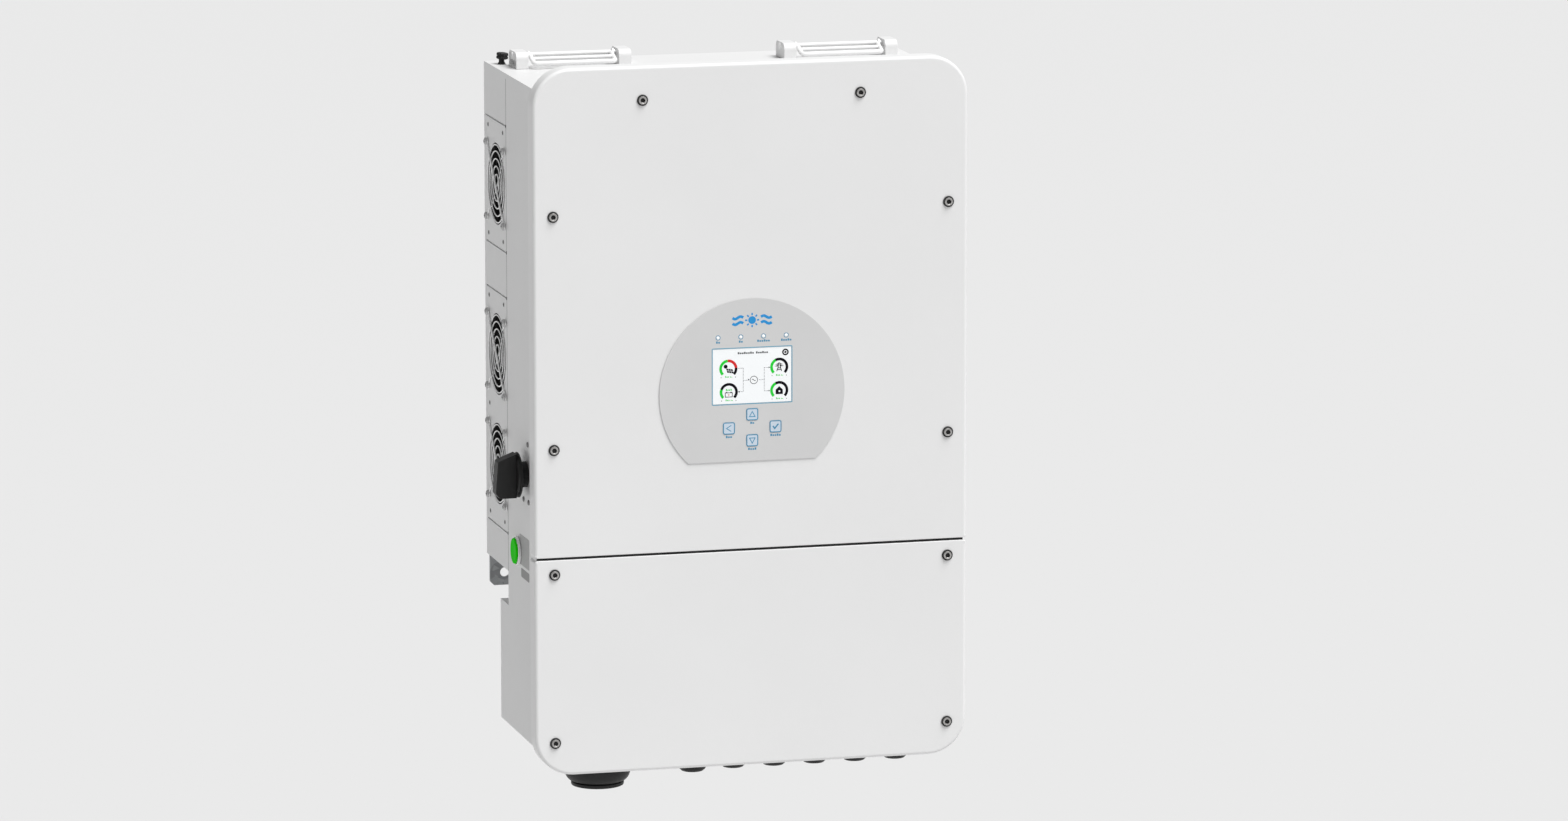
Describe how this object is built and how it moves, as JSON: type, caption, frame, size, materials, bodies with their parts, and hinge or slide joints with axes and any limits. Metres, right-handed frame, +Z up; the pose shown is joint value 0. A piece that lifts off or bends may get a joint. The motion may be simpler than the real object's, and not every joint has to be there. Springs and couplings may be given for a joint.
{
  "type": "string inverter",
  "caption": "Wall-hung solar string inverter with two screwed covers, round display overlay, side cooling fans, rotary DC switch, push button, folding handles and bottom glands.",
  "frame": {"origin": "middle of the wall bracket's back face, in the wall plane", "axes": "+Y out of the back into the wall, +Z up, +X to the right as seen from the front"},
  "size_m": [0.4442, 0.2389, 0.6967],
  "materials": {
    "cover_paint": "light grey-white powder coat, fine orange peel",
    "case_paint": "light grey-white powder coat on sheet metal",
    "bail_paint": "white gloss paint on steel rod",
    "black_plastic": "satin moulded plastic",
    "black_rubber": "matt closed-cell foam",
    "screw_steel": "stainless, with a dark sealing washer",
    "bezel_metal": "bright turned metal",
    "wire_chrome": "bright plated wire",
    "zinc": "dull zinc-plated sheet",
    "aluminium": "extruded, unpainted",
    "film_grey": "matt printed polyester film",
    "screen": "lit colour screen behind clear film",
    "clear_plastic": "clear light pipe",
    "green_lens": "lit green cap",
    "board_green": "solder-masked circuit board with components"
  },
  "bodies": {
    "housing": {"upper_cover": "cover_paint", "lower_cover": "cover_paint", "front_case": "case_paint", "rear_chassis": "case_paint", "fan_plate_single": "case_paint", "fan_plate_double": "case_paint", "handle_foot_left_outer": "case_paint", "handle_foot_left_inner": "case_paint", "handle_foot_right_outer": "case_paint", "handle_foot_right_inner": "case_paint", "fan_frame_1": "black_plastic", "fan_frame_2": "black_plastic", "fan_frame_3": "black_plastic", "breather_vent": "black_plastic", "battery_gland": "black_plastic", "cable_gland_1": "black_plastic", "cable_gland_2": "black_plastic", "cable_gland_3": "black_plastic", "cable_gland_4": "black_plastic", "cable_gland_5": "black_plastic", "cable_gland_6": "black_plastic", "terminal_block": "black_plastic", "dc_switch_body": "black_plastic", "upper_gasket": "black_rubber", "lower_gasket": "black_rubber", "upper_screw_top_left": "screw_steel", "upper_screw_top_right": "screw_steel", "upper_screw_upper_left": "screw_steel", "upper_screw_upper_right": "screw_steel", "upper_screw_middle_left": "screw_steel", "upper_screw_middle_right": "screw_steel", "lower_screw_lower_left": "screw_steel", "lower_screw_lower_right": "screw_steel", "lower_screw_foot_left": "screw_steel", "lower_screw_foot_right": "screw_steel", "power_button_bezel": "bezel_metal", "finger_guard_1": "wire_chrome", "finger_guard_2": "wire_chrome", "finger_guard_3": "wire_chrome", "wall_bracket": "zinc", "wall_ear_left": "zinc", "wall_ear_right": "zinc", "heat_sink": "aluminium", "display_overlay": "film_grey", "lcd_module": "screen", "status_light_pipe": "clear_plastic", "power_board": "board_green", "display_board": "board_green"},
    "fan_1": {"fan_rotor_1": "black_plastic"},
    "fan_2": {"fan_rotor_2": "black_plastic"},
    "fan_3": {"fan_rotor_3": "black_plastic"},
    "switch_grip": {"dc_switch_knob": "black_plastic"},
    "power_cap": {"power_button": "green_lens"},
    "key_up_cap": {"key_up": "film_grey"},
    "key_back_cap": {"key_back": "film_grey"},
    "key_enter_cap": {"key_enter": "film_grey"},
    "key_down_cap": {"key_down": "film_grey"},
    "bail_left": {"handle_bail_left": "bail_paint"},
    "bail_right": {"handle_bail_right": "bail_paint"}
  },
  "joints": [
    {"name": "fan_spin_1", "type": "hinge", "parent": "housing", "child": "fan_1", "pos_m": [-0.19, -0.0543, -0.023], "axis": [1, 0, 0], "continuous": true},
    {"name": "fan_spin_2", "type": "hinge", "parent": "housing", "child": "fan_2", "pos_m": [-0.19, -0.0543, -0.187], "axis": [1, 0, 0], "continuous": true},
    {"name": "fan_spin_3", "type": "hinge", "parent": "housing", "child": "fan_3", "pos_m": [-0.19, -0.0543, -0.293], "axis": [1, 0, 0], "continuous": true},
    {"name": "dc_switch_turn", "type": "hinge", "parent": "housing", "child": "switch_grip", "pos_m": [-0.215, -0.1738, -0.282], "axis": [-1, 0, 0], "range_deg": [0, 90]},
    {"name": "power_button_press", "type": "slide", "parent": "housing", "child": "power_cap", "axis": [1, 0, 0], "range_m": [0, 0.0025], "stiffness_N_per_m": 600, "springref_m": -0.001},
    {"name": "key_up_press", "type": "slide", "parent": "housing", "child": "key_up_cap", "axis": [0, 1, 0], "range_m": [0, 0.0004], "stiffness_N_per_m": 3000, "springref_m": -0.0001},
    {"name": "key_back_press", "type": "slide", "parent": "housing", "child": "key_back_cap", "axis": [0, 1, 0], "range_m": [0, 0.0004], "stiffness_N_per_m": 3000, "springref_m": -0.0001},
    {"name": "key_enter_press", "type": "slide", "parent": "housing", "child": "key_enter_cap", "axis": [0, 1, 0], "range_m": [0, 0.0004], "stiffness_N_per_m": 3000, "springref_m": -0.0001},
    {"name": "key_down_press", "type": "slide", "parent": "housing", "child": "key_down_cap", "axis": [0, 1, 0], "range_m": [0, 0.0004], "stiffness_N_per_m": 3000, "springref_m": -0.0001},
    {"name": "handle_left_lift", "type": "hinge", "parent": "housing", "child": "bail_left", "pos_m": [-0.131, -0.0573, 0.0997], "axis": [-1, 0, 0], "range_deg": [0, 106]},
    {"name": "handle_right_lift", "type": "hinge", "parent": "housing", "child": "bail_right", "pos_m": [0.131, -0.0573, 0.0997], "axis": [-1, 0, 0], "range_deg": [0, 106]}
  ]
}
